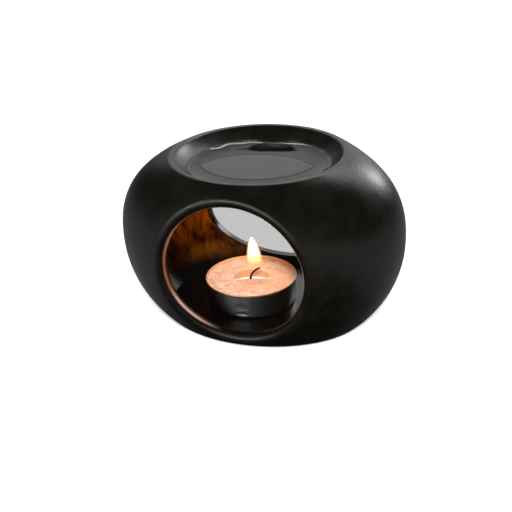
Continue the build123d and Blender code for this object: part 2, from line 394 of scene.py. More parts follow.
def satin_black_glazed_stoneware(add, place):
    # Satin black glaze on fired stoneware: its crystals spread the highlights into soft grey patches.
    zone = body_zones(add, place)
    mottle = add("TexNoise", {"Vector": zone.place, "Scale": per_mm(MOTTLE_MM), "Detail": 4.0})
    grain = add("TexNoise", {"Vector": zone.place, "Scale": per_mm(GRAIN_MM), "Detail": 3.0})
    return add("BsdfPrincipled", {
        "Base Color": glaze_colour(add, zone, mottle),
        "Roughness": glaze_roughness(add, zone, mottle),
        "IOR": 1.5,
        "Specular IOR Level": glaze_mirror(add, zone),
        "Normal": add("Bump", {"Height": grain, "Strength": 0.5, "Distance": GRAIN_DEPTH}),
    })


def dress(node, material):
    """Give a CAD node's object one material in place of the one it came with."""
    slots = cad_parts[node].data.materials
    slots.clear()
    slots.append(material)
    print(node, "dressed in", slots[0].name)


dress("burner_body", make_material(satin_black_glazed_stoneware))

# %% [markdown]
# ## Turned shapes
#
# The water, the wax, its cup and the pads are round. Each could be a cylinder shaped by modifiers, but a lathe
# gives full control of the profile: it spins points of radius and height about an upright axis. A third number
# says how much of a wobble a point takes, so one helper makes level water with a meniscus and the uneven skin
# of set wax. All other round things here are rings of points too, so they share the helper that joins ring to
# ring.

# %% Mesh helpers
def angles(count):
    """Evenly spaced angles round a full turn."""
    return [2 * pi * i / count for i in range(count)]


def mesh_piece(name, *skins):
    """A smooth-shaded object. Each skin is a list of rings of points. A ring of one point closes its end."""
    bm = bmesh.new()
    for skin in skins:
        rings = [[bm.verts.new(point) for point in ring] for ring in skin]
        for lower, upper in zip(rings, rings[1:]):
            count = max(len(lower), len(upper))
            for i in range(count):
                j = (i + 1) % count
                corners = [lower[i % len(lower)], lower[j % len(lower)],
                           upper[j % len(upper)], upper[i % len(upper)]]
                bm.faces.new(list(dict.fromkeys(corners)))
        for end in (rings[0], rings[-1]):
            if len(end) > 1:
                bm.faces.new(end)
    bmesh.ops.recalc_face_normals(bm, faces=bm.faces)
    for face in bm.faces:
        face.smooth = True
    mesh = bpy.data.meshes.new(name)
    bm.to_mesh(mesh)
    bm.free()
    return put(name, mesh)


def lathe(name, axis, profile, segments, wobble=None):
    """Spin (radius, height) points about an upright axis. A third number is a point's share of the wobble."""
    rings = []
    for radius, height, *share in profile:
        ring = []
        for angle in angles(segments) if radius else [0]:
            x, y = radius * cos(angle), radius * sin(angle)
            lift = share[0] * wobble(x, y) if share else 0
            ring.append((axis[0] + x, axis[1] + y, height + lift))
        rings.append(ring)
    return mesh_piece(name, rings)


def settle(piece, material, body, slot, *nodes):
    """Give a piece its material and its body, and hide the CAD nodes that it stands for. The slot is not used.
    """
    piece.data.materials.append(material)
    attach(piece, body)
    if nodes:
        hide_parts(*nodes)
    print(piece.name, len(piece.data.polygons), "faces, on", body)
    return piece


print("mesh helpers:", [helper.__name__ for helper in (angles, mesh_piece, lathe, settle)])

# %% [markdown]
# ## The scented water
#
# Water lies level and clear: we see the black dish through it and the bright room mirrored on it. A flat disc
# would do from far off, but the edge gives water away. Where it meets the glaze it climbs in a meniscus, which
# fades within a few millimetres. Level water near the far side mirrors the dark wall of the dish, and the
# tilted meniscus mirrors the room above that wall. So the far edge is bright where the meniscus reaches far
# in, and a black crescent is left where it doesn't. The water's sides reach a little way into the stoneware,
# so that no ray finds a gap.

# %% Water
DISH_FLOOR_RADIUS = 18.7 * MM
LEVEL_Z = WATER_Z - 0.4 * MM
EDGE_RADIUS = WATER_RADIUS + 1.1 * MM
MENISCUS_RISE = 1.5 * MM
MENISCUS_FADE = 3.5 * MM
UNEVEN_MM = 7.0
UNEVEN_SHARE = 0.25
CRESCENT_HEADING = radians(97)
CRESCENT_LEFT = radians(18)
CRESCENT_RIGHT = radians(25)
CRESCENT_RISE_LOSS = 0.3
CRESCENT_FADE_LOSS = 0.75
INTO_GLAZE = 0.25 * MM
BOWL_SHARES = (0, 0.25, 0.5, 0.75)
BOWL_CURVE = 0.8
WATER_RINGS_MM = (0, 0.4, 0.8, 1.3, 1.8, 2.4, 3.1, 4.0, 5.0, 6.2, 7.6, 9.5, 12, 16, 22)
DUST_MM = 3.0


def still_water(add, place):
    # Still water: a clear body that shows the glaze below, and a mirror that a little dust softens in spots.
    dust = add("TexNoise", {"Vector": place, "Scale": per_mm(DUST_MM), "Detail": 3.0})
    return add("BsdfPrincipled", {
        "Base Color": linear("#e9ebea"),
        "IOR": 1.34,
        "Transmission Weight": 1.0,
        "Roughness": add("MapRange", [dust, 0.4, 0.7, 0.015, 0.04], **SMOOTH),
    })


def water_lift(x, y):
    """Height of the meniscus at a point of the dish, measured from the dish's middle."""
    off = atan2(y, x) - CRESCENT_HEADING
    crescent = exp(-(off / (CRESCENT_LEFT if off > 0 else CRESCENT_RIGHT)) ** 2)
    rise = MENISCUS_RISE * (1 - CRESCENT_RISE_LOSS * crescent)
    fade = MENISCUS_FADE * (1 - CRESCENT_FADE_LOSS * crescent)
    uneven = 1 + UNEVEN_SHARE * noise.noise(Vector((x, y, 0)) * per_mm(UNEVEN_MM))
    from_edge = EDGE_RADIUS - (x * x + y * y) ** 0.5
    return rise * uneven * exp(-from_edge / fade)


water_profile = [(0, WATER_FLOOR_Z - INTO_GLAZE)]
for share in BOWL_SHARES:
    radius = DISH_FLOOR_RADIUS + (WATER_RADIUS - DISH_FLOOR_RADIUS) * share ** BOWL_CURVE
    height = WATER_FLOOR_Z + (WATER_Z - WATER_FLOOR_Z) * share
    water_profile.append((radius + INTO_GLAZE, height - INTO_GLAZE))
water_profile.append((EDGE_RADIUS + INTO_GLAZE, LEVEL_Z, 0.5))
for from_edge in WATER_RINGS_MM:
    water_profile.append((EDGE_RADIUS - from_edge * MM, LEVEL_Z, 1))
water_profile.append((0, LEVEL_Z))
water = lathe("water_surface", (DISH_X, DISH_Y), water_profile, 240, water_lift)
settle(water, make_material(still_water), "burner", "water", "scented_water")

# %% [markdown]
# The drops of essential oil have spread into one film, pointed at both ends like an eye. It could be a patch
# of another colour on the water, but oil has hardly any colour. It bends light more than water, so it mirrors
# the room a little more brightly, and its rounded edge draws a fine line. So it is a thin sheet of its own
# that follows the water.

# %% Oil film
FILM_HALF_LENGTH = 23.0 * MM
FILM_HALF_WIDTH = 14.6 * MM
FILM_MIDDLE = (-1.2 * MM, -0.7 * MM)
FILM_TURN = radians(10)
FILM_THICKNESS = 0.09 * MM
FILM_STEPS = 48
SWIRL_MM = 9.0
# Shares of the outline's size and of the thickness, from the film's edge inwards over its top.
FILM_TOP = [(1.0, 0.0), (0.99, 0.45), (0.97, 0.8), (0.94, 1.0), (0.88, 1.0), (0.75, 1.0), (0.5, 1.0)]
FILM_BOTTOM = [(scale, -0.5) for scale, height in reversed(FILM_TOP) if scale < 0.98]


def essential_oil_film(add, place):
    # A film of oil, thicker and thinner in slow swirls: a clear sheet a shade brighter than the water.
    swirl = add("TexNoise", {"Vector": place, "Scale": per_mm(SWIRL_MM), "Distortion": 2.0})
    return add("BsdfPrincipled", {
        "Base Color": linear("#efefec"),
        "IOR": add("MapRange", [swirl, 0.3, 0.7, 1.345, 1.385], **SMOOTH),
        "Transmission Weight": 1.0,
        "Roughness": 0.03,
    })


def film_outline():
    """Points round the eye shape between two equal arcs."""
    arc_radius = (FILM_HALF_LENGTH ** 2 + FILM_HALF_WIDTH ** 2) / (2 * FILM_HALF_WIDTH)
    points = []
    for side in (1, -1):
        for step in range(FILM_STEPS):
            x = -side * FILM_HALF_LENGTH * cos(pi * step / FILM_STEPS)
            y = side * ((arc_radius ** 2 - x ** 2) ** 0.5 - arc_radius + FILM_HALF_WIDTH)
            points.append((x, y))
    return points


def oil_film():
    """A thin closed sheet that follows the water, with a rounded edge."""
    rings = []
    for scale, height in FILM_BOTTOM + FILM_TOP:
        ring = []
        for across, along in film_outline():
            x = FILM_MIDDLE[0] + scale * (across * cos(FILM_TURN) - along * sin(FILM_TURN))
            y = FILM_MIDDLE[1] + scale * (across * sin(FILM_TURN) + along * cos(FILM_TURN))
            z = LEVEL_Z + water_lift(x, y) + height * FILM_THICKNESS
            ring.append((DISH_X + x, DISH_Y + y, z))
        rings.append(ring)
    return mesh_piece("oil_film", rings)


settle(oil_film(), make_material(essential_oil_film), "burner", "water")

# %% [markdown]
# ## The tealight's cup
#
# A tealight cup is pressed from thin aluminium sheet. Bare aluminium mirrors what is round it, which in a
# black chamber is mostly black. The rim and the inside of the wall carry a film of wax, which hides the metal
# and glows warm beside the flame. The film could be a second shell, but it is too thin to have a shape, so the
# material turns from metal to wax there.

# %% Cup material
# Drawing lines are finer than 0.1 mm, but drawn coarser here so that they show.
DRAWN_LINE_MM = 0.6
DRAWN_STRETCH = (1.0, 1.0, 0.12)
WAVE_MM = 5.0
WAVE_DEPTH = 0.3 * MM
FILM_LOW_Z = CUP_RIM_Z - 1.8 * MM
CURL_BAND = (CUP_RIM_Z - 0.9 * MM, CUP_RIM_Z - 0.6 * MM)
FILM_REACH = (CUP_RADIUS - 0.5 * MM, CUP_RADIUS - 0.12 * MM)
METAL_ROUGHNESS = (0.37, 0.44)
WAX_FILM_ROUGHNESS = 0.45


def bare_pressed_aluminium(add, place):
    # Bare pressed aluminium: a soft, streaky mirror of the dark chamber. Where wax coats it, a warm matt band.
    drawn = add("Mapping", {"Vector": place, "Scale": DRAWN_STRETCH})
    lines = add("TexNoise", {"Vector": drawn, "Scale": per_mm(DRAWN_LINE_MM), "Detail": 3.0})
    waves = add("TexNoise", {"Vector": place, "Scale": per_mm(WAVE_MM), "Detail": 1.0})
    z = add("SeparateXYZ", [place]).outputs["Z"]
    radius = oval_distance(add, place, (CUP_X, CUP_Y, 0), (1, 1, 0))
    reach = add("MapRange", [z, *CURL_BAND, *FILM_REACH], **SMOOTH)
    within = add("Math", [radius, reach], operation="LESS_THAN")
    high = add("Math", [z, FILM_LOW_Z], operation="GREATER_THAN")
    waxed = add("Math", [high, within], operation="MULTIPLY")
    rough = add("MapRange", [lines, 0.2, 0.8, *METAL_ROUGHNESS], **SMOOTH)
    matt = add("Math", [waxed, WAX_FILM_ROUGHNESS], operation="MULTIPLY")
    return add("BsdfPrincipled", {
        "Base Color": add("Mix", [waxed, linear("#d6d5d2"), linear("#d99a66")], **COLOUR),
        "Metallic": add("Math", [1.0, waxed], operation="SUBTRACT"),
        "Roughness": add("Math", [rough, matt], operation="MAXIMUM"),
        "Normal": add("Bump", {"Height": waves, "Strength": 0.3, "Distance": WAVE_DEPTH}),
    })


aluminium = make_material(bare_pressed_aluminium)
print(aluminium.name, "has wax above", round(FILM_LOW_Z / MM, 1), "mm")

# %% [markdown]
# The rim is curled over so that it doesn't cut. We spin one closed profile: under the base, round the corner,
# up the slightly flared wall, over the curl and down the inside. Fingers soon dent sheet this thin. Dents
# could be bumps of the material, but a dent bends the outline of what it mirrors, so we push the mesh in.

# %% Cup
CUP_FOOT_RADIUS = 18.3 * MM
CUP_CORNER = 1.3 * MM
CUP_SHEET = 0.3 * MM
CURL_RADIUS = 0.32 * MM
BASE_HOLLOW = 0.35 * MM
WALL_RINGS = 24
CORNER_STEP = 15
CURL_STEP = 20
DENT_HEADING = radians(-84)
CREASE = SimpleNamespace(z=CUP_FOOT_Z + 2.1 * MM, width=3.8 * MM, height=1.5 * MM, depth=0.38 * MM)
THUMB = SimpleNamespace(z=CUP_FOOT_Z + 5.0 * MM, width=4.2 * MM, height=2.6 * MM, depth=0.16 * MM)


def press_dents(piece):
    """Push a round thumb dent into the front of the wall, and a pointed crease under it."""
    outward = Vector((cos(DENT_HEADING), sin(DENT_HEADING), 0))
    sideways = Vector((-outward.y, outward.x, 0))
    for vertex in piece.data.vertices:
        off = vertex.co - Vector((CUP_X, CUP_Y, 0))
        if off.dot(outward) < 0:
            continue
        across = abs(off.dot(sideways))
        push = CREASE.depth * max(0, 1 - across / CREASE.width - abs(off.z - CREASE.z) / CREASE.height)
        away = (across / THUMB.width) ** 2 + ((off.z - THUMB.z) / THUMB.height) ** 2
        push += THUMB.depth * max(0, 1 - away) ** 2
        vertex.co -= outward * push


curl_middle = CUP_RADIUS - CURL_RADIUS
wall_low = Vector((CUP_FOOT_RADIUS, CUP_FOOT_Z + CUP_CORNER))
wall_high = Vector((curl_middle + 0.2 * CURL_RADIUS, CUP_RIM_Z - 2.6 * CURL_RADIUS))
cup_profile = [
    (0, CUP_FOOT_Z + BASE_HOLLOW),
    (CUP_FOOT_RADIUS - 3.2 * CUP_CORNER, CUP_FOOT_Z + BASE_HOLLOW),
    (CUP_FOOT_RADIUS - 2.2 * CUP_CORNER, CUP_FOOT_Z),
]
for step in range(90 // CORNER_STEP):
    turn = radians(CORNER_STEP * step)
    radius = CUP_FOOT_RADIUS - CUP_CORNER * (1 - sin(turn))
    cup_profile.append((radius, CUP_FOOT_Z + CUP_CORNER * (1 - cos(turn))))
for step in range(WALL_RINGS + 1):
    cup_profile.append(wall_low.lerp(wall_high, step / WALL_RINGS))
for step in range(-60 // CURL_STEP, 180 // CURL_STEP + 1):
    turn = radians(CURL_STEP * step)
    height = CUP_RIM_Z - CURL_RADIUS + CURL_RADIUS * sin(turn)
    cup_profile.append((curl_middle + CURL_RADIUS * cos(turn), height))
cup_profile += [
    (curl_middle - CURL_RADIUS, CUP_RIM_Z - 2 * CURL_RADIUS),
    (CUP_FOOT_RADIUS - CUP_SHEET, CUP_FOOT_Z + CUP_CORNER),
    (CUP_FOOT_RADIUS - CUP_CORNER, CUP_FOOT_Z + CUP_SHEET + BASE_HOLLOW),
    (0, CUP_FOOT_Z + CUP_SHEET + BASE_HOLLOW),
]
cup = lathe("pressed_cup", (CUP_X, CUP_Y), cup_profile, 192)
press_dents(cup)
settle(cup, aluminium, "tealight", "aluminium", "tealight_cup")

# %% [markdown]
# ## Set wax
#
# Wax is milky: light goes in, scatters and comes back out further on. A plain diffuse colour would look like
# painted plaster, so the material uses subsurface scattering, and the wax glows near the flame. At the front
# left it was rubbed and is paler. Elsewhere it is smooth and more orange.

# %% Set wax material
CLOUD_MM = 2.8
CLOUD_STRETCH = (0.75, 1.0, 1.0)
SMOOTH_SPREAD = (0.35, 0.75)
RUBBED_SPREAD = (0.42, 0.68)
RUBBED_BAND = (-9 * MM, 8 * MM)
# Wax crystals are about 0.05 mm wide, but drawn coarser here so that they show.
CRYSTAL_MM = 0.7
CRYSTAL_DEPTH = 0.08 * MM
WAX_SCATTER = (1.0, 0.55, 0.3)


def set_paraffin_wax(add, place):
    # Cast paraffin wax: soft, warm and milky, glossier and duller in clouds.
    x, y, _ = add("SeparateXYZ", [place]).outputs
    toward_back_right = add("Math", [x, y], operation="ADD")
    toward_front_left = add("Math", [CUP_X + CUP_Y, toward_back_right], operation="SUBTRACT")
    is_rubbed = add("MapRange", [toward_front_left, *RUBBED_BAND], **SMOOTH)
    drawn = add("Mapping", {"Vector": place, "Scale": CLOUD_STRETCH})
    cloud = add("TexNoise", {"Vector": drawn, "Scale": per_mm(CLOUD_MM), "Detail": 2.5, "Distortion": 0.8})
    pale = add("MapRange", [cloud, *SMOOTH_SPREAD], **SMOOTH)
    smooth = add("Mix", [pale, linear("#e6ab80"), linear("#ecbd99")], **COLOUR)
    paler = add("MapRange", [cloud, *RUBBED_SPREAD], **SMOOTH)
    rubbed = add("Mix", [paler, linear("#e6b091"), linear("#f2d2c0")], **COLOUR)
    grain = add("TexNoise", {"Vector": place, "Scale": per_mm(CRYSTAL_MM), "Detail": 3.0})
    return add("BsdfPrincipled", {
        "Base Color": add("Mix", [is_rubbed, smooth, rubbed], **COLOUR),
        "IOR": 1.44,
        "Roughness": add("MapRange", [cloud, 0.35, 0.65, 0.2, 0.4], **SMOOTH),
        "Normal": add("Bump", {"Height": grain, "Strength": 0.2, "Distance": CRYSTAL_DEPTH}),
        "Subsurface Weight": 0.4,
        "Subsurface Radius": WAX_SCATTER,
        "Subsurface Scale": 1.2 * MM,
    })


set_wax = make_material(set_paraffin_wax)
print(set_wax.name, "scatters red light over", 1.2 * WAX_SCATTER[0], "mm")

# %% [markdown]
# The wax shrank as it set, so it sinks a little towards the cup. Each burn melts a pool round the wick, and
# where the pool's edge freezes again it leaves a ridge, ripples and lumps, most of them at the front left. A
# sculpted mesh would do, but a lathe whose rings take a wobble from noise is repeatable and easy to tune.

# %% Set wax
RIPPLE_MM = 4.5
RIPPLE_SHARE = 0.75
LUMP_MM = 3.0
LUMP_SHARE = 0.9
LUMP_STRETCH = 0.6
WAX_RELIEF = 0.5 * MM
CALM_SHARE = 0.3
LUMPY_WIDTH = 2.5 * MM
RIDGE_RADIUS = 1.36 * POOL_RADIUS
RIDGE_WIDTH = 0.06
RIDGE_SHARE = 0.3
CUP_MENISCUS = 0.15 * MM
EDGE_SINK = 0.25 * MM
EDGE_WIDTH = 0.6 * MM
WAX_RINGS = 36
POOL_SIDE_DEPTH = 0.9 * MM
POOL_FLOOR_RADIUS = POOL_RADIUS * 0.75


def wax_relief(x, y):
    """Ripples and lumps of wax that froze at the edge of the pool, most of them at the front left."""
    ripple = noise.noise(Vector((x, y, 0.004)) * per_mm(RIPPLE_MM))
    lump = noise.noise(Vector((x * LUMP_STRETCH, y, 0.011)) * per_mm(LUMP_MM))
    lumpy = 1 / (1 + exp((x + y) / LUMPY_WIDTH))
    from_ridge = (x * x + y * y) ** 0.5 / (RIDGE_RADIUS * (1 + 0.12 * ripple)) - 1
    ridge = exp(-(from_ridge / RIDGE_WIDTH) ** 2) * (0.6 + lump)
    skin = (CALM_SHARE + (1 - CALM_SHARE) * lumpy) * (RIPPLE_SHARE * ripple + LUMP_SHARE * lump)
    return WAX_RELIEF * (skin + RIDGE_SHARE * ridge)


wax_radius = curl_middle - CURL_RADIUS
face_radius = wax_radius - EDGE_WIDTH
wax_profile = [
    (0, WAX_FLOOR_Z + BASE_HOLLOW),
    (CUP_FOOT_RADIUS - CUP_CORNER, WAX_FLOOR_Z + BASE_HOLLOW),
    (CUP_FOOT_RADIUS - CUP_SHEET, CUP_FOOT_Z + CUP_CORNER),
    (wax_radius, WAX_Z - EDGE_SINK + CUP_MENISCUS),
    (wax_radius - 0.25 * MM, WAX_Z - EDGE_SINK + 0.3 * CUP_MENISCUS, 0.1),
    (face_radius, WAX_Z - EDGE_SINK, 0.3),
]
for step in range(1, WAX_RINGS + 1):
    share = step / WAX_RINGS
    radius = face_radius + (POOL_RADIUS + 0.2 * MM - face_radius) * share
    sink = EDGE_SINK * (1 - min(1, 4 * share)) ** 2
    wax_profile.append((radius, WAX_Z - sink, min(1, 0.3 + 3 * share) * (1 - 0.75 * share ** 6)))
wax_profile += [
    (POOL_RADIUS - 0.1 * MM, POOL_Z - 0.1 * MM, 0.15),
    (POOL_RADIUS * 0.9, POOL_Z - POOL_SIDE_DEPTH),
    (POOL_FLOOR_RADIUS, POOL_FLOOR_Z),
    (0, POOL_FLOOR_Z),
]
wax = lathe("set_wax", (CUP_X, CUP_Y), wax_profile, 192, wax_relief)
settle(wax, set_wax, "tealight", "paraffin_wax", "tealight_wax")

# %% [markdown]
# ## Melted wax
#
# The pool is a clear, oily liquid over the set wax, and it mirrors the flame. A thread of wax has set across
# it: behind the thread the pool is clear and orange, in front of it a skin has begun to cloud, and along its
# front runs a white line that is a painted glint of the flame. These could be three pieces, but they run into
# each other without an edge. So one material asks how far a point lies across the thread.

# %% Melted wax material
THREAD_HEADING = radians(19)
ACROSS_THREAD = Vector((-sin(THREAD_HEADING), cos(THREAD_HEADING), 0))
THREAD_PLACE = -0.95 * MM
THREAD_MIDDLE = ACROSS_THREAD.dot(Vector((CUP_X, CUP_Y, 0))) + THREAD_PLACE
THREAD_FRONT = THREAD_MIDDLE - 0.4 * MM
CLEAR_BAND = (THREAD_FRONT, THREAD_MIDDLE + 0.8 * MM)
# Painted glint: the white line is full within 0.2 mm of the thread's front and gone at 0.45 mm.
PAINTED_GLINT_BAND = (0.45 * MM, 0.2 * MM)
SKIN_MM = 3.0
SKIN_SPREAD = (0.35, 0.7)


def melted_paraffin(add, place):
    # Melted paraffin: wet and mirror smooth, a little see-through, clouded where it begins to set.
    skin = add("TexNoise", {"Vector": place, "Scale": per_mm(SKIN_MM), "Detail": 3.0, "Distortion": 1.0})
    skin = add("MapRange", [skin, *SKIN_SPREAD], **SMOOTH)
    clear = add("Mix", [skin, linear("#e09c60"), linear("#e8ac7a")], **COLOUR)
    clouded = add("Mix", [skin, linear("#dea47c"), linear("#e9ba9a")], **COLOUR)
    across = add("VectorMath", [place, ACROSS_THREAD], operation="DOT_PRODUCT")
    behind = add("MapRange", [across, *CLEAR_BAND], **SMOOTH)
    pool_colour = add("Mix", [behind, clouded, clear], **COLOUR)
    # Painted glint: a near-white line along the front of the thread.
    off_thread = add("Math", [across, THREAD_FRONT], operation="SUBTRACT")
    off_thread = add("Math", [off_thread], operation="ABSOLUTE")
    painted_glint = add("MapRange", [off_thread, *PAINTED_GLINT_BAND], **SMOOTH)
    return add("BsdfPrincipled", {
        "Base Color": add("Mix", [painted_glint, pool_colour, linear("#fff4ea")], **COLOUR),
        "IOR": 1.43,
        "Roughness": 0.06,
        "Transmission Weight": 0.15,
        "Subsurface Weight": 0.4,
        "Subsurface Radius": WAX_SCATTER,
        "Subsurface Scale": 1.5 * MM,
    })


melted_wax = make_material(melted_paraffin)
print(melted_wax.name, "with a thread", round(THREAD_PLACE / MM, 2), "mm from the tealight's axis")

# %% [markdown]
# A liquid is level, so a plain disc would nearly do, but two things on it catch the light: the thread, whose
# front slope mirrors the flame, and the meniscus where the wick comes out. Both are heights that the lathe's
# rings take, and the rings are close enough together to bend there. The pool reaches a little way into the set
# wax, so no gap shows.

# %% Melted wax
WICK_RADIUS = 0.45 * MM
WICK_SLANT = Vector((0.8 * MM, -2.9 * MM, 0))
WICK_AT_POOL = 0.87 * WICK_SLANT
WICK_MENISCUS = 0.9 * MM
THREAD_HALF_LENGTH = 5.6 * MM
THREAD_HEIGHT = 0.65 * MM
THREAD_WIDTH = 1.0 * MM
INTO_WAX = 0.1 * MM
POOL_RINGS = 36


def pool_relief(x, y):
    """A thread of set wax across the pool, and the meniscus where the wick comes out."""
    across = abs(ACROSS_THREAD.x * x + ACROSS_THREAD.y * y - THREAD_PLACE)
    along = ACROSS_THREAD.y * x - ACROSS_THREAD.x * y
    ends = max(0, 1 - (along / THREAD_HALF_LENGTH) ** 4)
    thread = THREAD_HEIGHT * max(0, 1 - across / THREAD_WIDTH) * ends
    from_wick = (Vector((x, y, 0)) - WICK_AT_POOL).length
    return thread + WICK_MENISCUS * exp(-max(0, from_wick - WICK_RADIUS) / WICK_MENISCUS)


pool_profile = [
    (0, POOL_FLOOR_Z - INTO_WAX),
    (POOL_FLOOR_RADIUS, POOL_FLOOR_Z - INTO_WAX),
    (POOL_RADIUS * 0.92, POOL_Z - POOL_SIDE_DEPTH),
    (POOL_RADIUS + INTO_WAX, POOL_Z + 0.05 * MM),
    (POOL_RADIUS - 0.35 * MM, POOL_Z + 0.02 * MM),
]
for step in range(POOL_RINGS):
    pool_profile.append(((POOL_RADIUS - 0.6 * MM) * (1 - step / POOL_RINGS), POOL_Z, 1))
pool_profile.append((0, POOL_Z, 1))
pool = lathe("wax_pool", (CUP_X, CUP_Y), pool_profile, 160, pool_relief)
settle(pool, melted_wax, "tealight", "molten_wax", "melted_wax")

# %% [markdown]
# ## The wick
#
# A wick is braided cotton. The flame has charred all that stands above the pool. Below, soaked in wax, the
# cotton is still tan. A curve with a round bevel would be a smooth wire, so three strands twist about each
# other here. They run from the tab at the cup's floor up through the wax, lean forward in the pool and bend
# over to the right at the top.

# %% Wick
WICK_HEADING = radians(19)
WICK_RISE = 4.0 * MM
WICK_REACH = 4.2 * MM
WICK_TIP_RISE = 2.0 * MM
BEND_LENGTH = 2.6 * MM
STRAIGHT_SHARE = 0.6
STRAND_RADIUS = 0.25 * MM
STRAND_SIDES = 12
STRAND_STEPS = 110
TAPER_STEPS = 6
TIP_SHARE = 0.35
TWIST_PITCH = 2.4 * MM
# Cotton fibres are about 0.02 mm thick, but drawn coarser here so that they show.
FIBRE_MM = 0.25
CHAR_BAND = (POOL_Z + 0.5 * MM, POOL_Z + 1.3 * MM)
RAGGED = 1.2 * MM


def braided_cotton_charred_at_the_tip(add, place):
    # Braided cotton, burnt: dead black and matt, with a ragged end to the char where the wax keeps it wet.
    height = add("SeparateXYZ", [place]).outputs["Z"]
    fibre = add("TexNoise", {"Vector": place, "Scale": per_mm(FIBRE_MM), "Detail": 4.0})
    ragged = add("Math", [fibre, RAGGED, height], operation="MULTIPLY_ADD")
    char = add("MapRange", [ragged, *CHAR_BAND])
    return add("BsdfPrincipled", {
        "Base Color": add("Mix", [char, linear("#d9b488"), linear("#0a0807")], **COLOUR),
        "IOR": 1.45,
        "Roughness": 0.85,
        "Normal": add("Bump", {"Height": fibre, "Strength": 0.6, "Distance": 0.06 * MM}),
    })


def wick_line(t):
    """Point on the wick's middle line, from its foot at 0 to its tip at 1."""
    foot = Vector((CUP_X, CUP_Y, WICK_FOOT_Z))
    bend = Vector((CUP_X, CUP_Y, POOL_Z + WICK_RISE)) + WICK_SLANT
    start = bend - Vector((0, 0, BEND_LENGTH))
    lean = Vector((cos(WICK_HEADING), sin(WICK_HEADING), 0))
    tip = bend + lean * WICK_REACH + Vector((0, 0, WICK_TIP_RISE))
    if t < STRAIGHT_SHARE:
        return foot.lerp(start, t / STRAIGHT_SHARE)
    u = (t - STRAIGHT_SHARE) / (1 - STRAIGHT_SHARE)
    return start * (1 - u) ** 2 + bend * (2 * u * (1 - u)) + tip * u ** 2


def strand(phase):
    """Rings of one strand of the wick: a tube that winds round the wick's middle line."""
    middles = [wick_line(i / STRAND_STEPS) for i in range(STRAND_STEPS + 1)]
    side = Vector((1, 0, 0))
    rings, run = [], 0.0
    for i, middle in enumerate(middles):
        last = middles[max(i - 1, 0)]
        along = (middles[min(i + 1, STRAND_STEPS)] - last).normalized()
        side = (side - along * side.dot(along)).normalized()
        other = along.cross(side)
        run += (middle - last).length
        turn = phase + 2 * pi * run / TWIST_PITCH
        taper = min(1.0, TIP_SHARE + (STRAND_STEPS - i) / TAPER_STEPS)
        centre = middle + (side * cos(turn) + other * sin(turn)) * (WICK_RADIUS - STRAND_RADIUS) * taper
        rings.append([centre + (side * cos(a) + other * sin(a)) * STRAND_RADIUS * taper
                      for a in angles(STRAND_SIDES)])
    return rings


wick = mesh_piece("braided_wick", *[strand(phase) for phase in angles(3)])
settle(wick, make_material(braided_cotton_charred_at_the_tip), "tealight", "cotton_wick", "wick")

# %% [markdown]
# ## The wick's tab
#
# A stamped tinplate tab holds the wick upright. It could be modelled more finely, but it lies under the wax
# and isn't seen, so its CAD shape is enough. It gets a proper finish all the same: bright tin with the fine
# lines of the rolling mill.

# %% Tab
# Rolling lines are finer than 0.1 mm, but drawn coarser here so that they show.
ROLLED_LINE_MM = 0.4
ROLLED_STRETCH = (1.0, 0.08, 1.0)
TIN_ROUGHNESS = (0.25, 0.42)


def rolled_tinplate(add, place):
    # Rolled tinplate: a bright mirror, drawn out into streaks along the lines of the rolls.
    rolled = add("Mapping", {"Vector": place, "Scale": ROLLED_STRETCH})
    lines = add("TexNoise", {"Vector": rolled, "Scale": per_mm(ROLLED_LINE_MM), "Detail": 2.0})
    return add("BsdfPrincipled", {
        "Base Color": linear("#c9c8c4"),
        "Metallic": 1.0,
        "Roughness": add("MapRange", [lines, 0.3, 0.7, *TIN_ROUGHNESS]),
    })


dress("wick_tab", make_material(rolled_tinplate))

# %% [markdown]
# ## The flame
#
# A candle flame is glowing soot in hot gas: clear at the foot, amber above it and nearly white in the body. A
# volume would look right but is slow and noisy. So three thin shells sit inside each other, and each adds its
# own light to what is behind it: an amber veil that softens the edge, a yellow mantle and a white core. Shells
# would use up the rays that look for lamps and leave a dark foot, so they are left out of shadows.

# %% Flame
FLAME_FOOT_Z = POOL_Z + 5.6 * MM
FLAME_HEIGHT = 13.8 * MM
FLAME_RADIUS = 3.2 * MM
FLAME_RINGS = 40
FLAME_SIDES = 48
FOOT_ROUNDING = 0.12
LEAN_AT_FOOT = 2.2 * MM
LEAN_LOST = 1.2 * MM
GLOW_BAND = (0.02, 0.5)
# Name, share of the flame's radius, strength and colour of the upper part.
SHELLS = (
    ("flame_veil", 1.1, 0.2, "#ffb050"),
    ("flame_mantle", 0.97, 0.4, "#ffdca0"),
    ("flame_core", 0.8, 1.2, "#fff1d2"),
)


def glow(add, place, strength, top):
    # Glowing soot: nothing at the foot, amber above it, then the shell's own colour, added to what is behind.
    height = add("SeparateXYZ", [place]).outputs["Z"]
    rise = add("MapRange", [height, FLAME_FOOT_Z, FLAME_FOOT_Z + FLAME_HEIGHT])
    colour = add("ValToRGB", [rise])
    low, high = colour.color_ramp.elements
    low.position, low.color = 0.06, linear("#c8560f")
    high.position, high.color = 0.5, linear(top)
    colour.color_ramp.elements.new(0.28).color = linear("#ffb347")
    power = add("MapRange", [rise, *GLOW_BAND, 0.0, strength], **SMOOTH)
    light = add("Emission", {"Color": colour, "Strength": power})
    return add("AddShader", [light, add("BsdfTransparent")])


